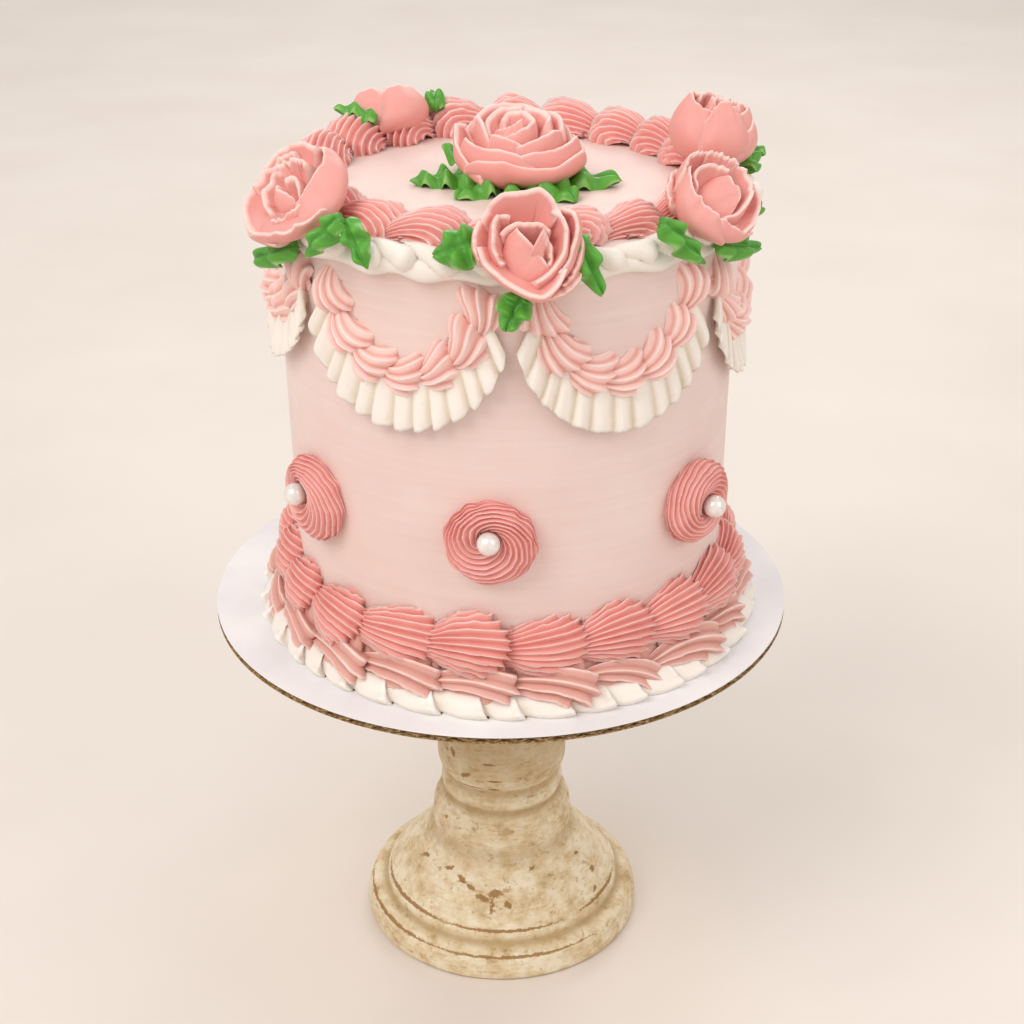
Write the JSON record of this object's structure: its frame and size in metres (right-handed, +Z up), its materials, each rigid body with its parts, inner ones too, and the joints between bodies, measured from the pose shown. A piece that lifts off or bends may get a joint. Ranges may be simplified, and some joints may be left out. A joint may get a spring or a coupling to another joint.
{
  "type": "decorated cake on stand",
  "caption": "Tall round buttercream cake with piped shell borders, swags, rosettes, roses and leaves, on a corrugated board and a turned wooden pedestal stand.",
  "frame": {"origin": "on the table, at the middle of the stand's foot and of the round cake board", "axes": "+Z up along the stand's axis, -Y to the front where the first rose leans out, +X to its right"},
  "size_m": [0.2032, 0.2032, 0.3156],
  "materials": {
    "stand_paint": "worn cream paint over turned wood, matt",
    "board_paper": "white paper liner on corrugated board, matt",
    "icing_side": "smoothed pale pink buttercream, satin",
    "icing_deep": "piped deep pink buttercream, satin",
    "icing_blush": "piped blush buttercream, satin",
    "icing_swag": "piped warm pink buttercream, satin",
    "icing_cream": "piped cream buttercream, satin",
    "icing_rose": "piped rose pink buttercream, satin",
    "icing_leaf": "piped green buttercream, slightly glossy",
    "sugar_pearl": "pearl dusted sugar, lustrous"
  },
  "bodies": {
    "root": {"stand_pedestal": "stand_paint", "cake_board": "board_paper", "cake_body": "icing_side", "base_border_cream": "icing_cream", "base_border_blush": "icing_blush", "base_border_deep": "icing_deep", "top_border_shells": "icing_deep", "top_border_cream": "icing_cream", "swag_1": "icing_swag", "ruffle_1": "icing_cream", "swag_2": "icing_swag", "ruffle_2": "icing_cream", "swag_3": "icing_swag", "ruffle_3": "icing_cream", "swag_4": "icing_swag", "ruffle_4": "icing_cream", "swag_5": "icing_swag", "ruffle_5": "icing_cream", "swag_6": "icing_swag", "ruffle_6": "icing_cream", "swag_7": "icing_swag", "ruffle_7": "icing_cream", "rosette_1": "icing_deep", "pearl_1": "sugar_pearl", "rosette_2": "icing_deep", "pearl_2": "sugar_pearl", "rosette_3": "icing_deep", "pearl_3": "sugar_pearl", "rosette_4": "icing_deep", "pearl_4": "sugar_pearl", "rosette_5": "icing_deep", "pearl_5": "sugar_pearl", "rosette_6": "icing_deep", "pearl_6": "sugar_pearl", "rosette_7": "icing_deep", "pearl_7": "sugar_pearl", "rose_centre": "icing_rose", "rose_front": "icing_rose", "rose_right": "icing_rose", "rose_left": "icing_rose", "rose_right_back": "icing_rose", "rose_left_back": "icing_rose", "leaf_centre_left": "icing_leaf", "leaf_centre_back": "icing_leaf", "leaf_centre_front_left": "icing_leaf", "leaf_centre_front": "icing_leaf", "leaf_centre_right": "icing_leaf", "leaf_front_left": "icing_leaf", "leaf_front_right": "icing_leaf", "leaf_front_low": "icing_leaf", "leaf_left_inner": "icing_leaf", "leaf_left_low": "icing_leaf", "leaf_left_outer": "icing_leaf", "leaf_right_inner": "icing_leaf", "leaf_right_outer": "icing_leaf", "leaf_right_side": "icing_leaf", "leaf_right_back_low": "icing_leaf", "leaf_right_back_outer": "icing_leaf", "leaf_left_back_low": "icing_leaf", "leaf_left_back_outer": "icing_leaf"}
  },
  "joints": []
}
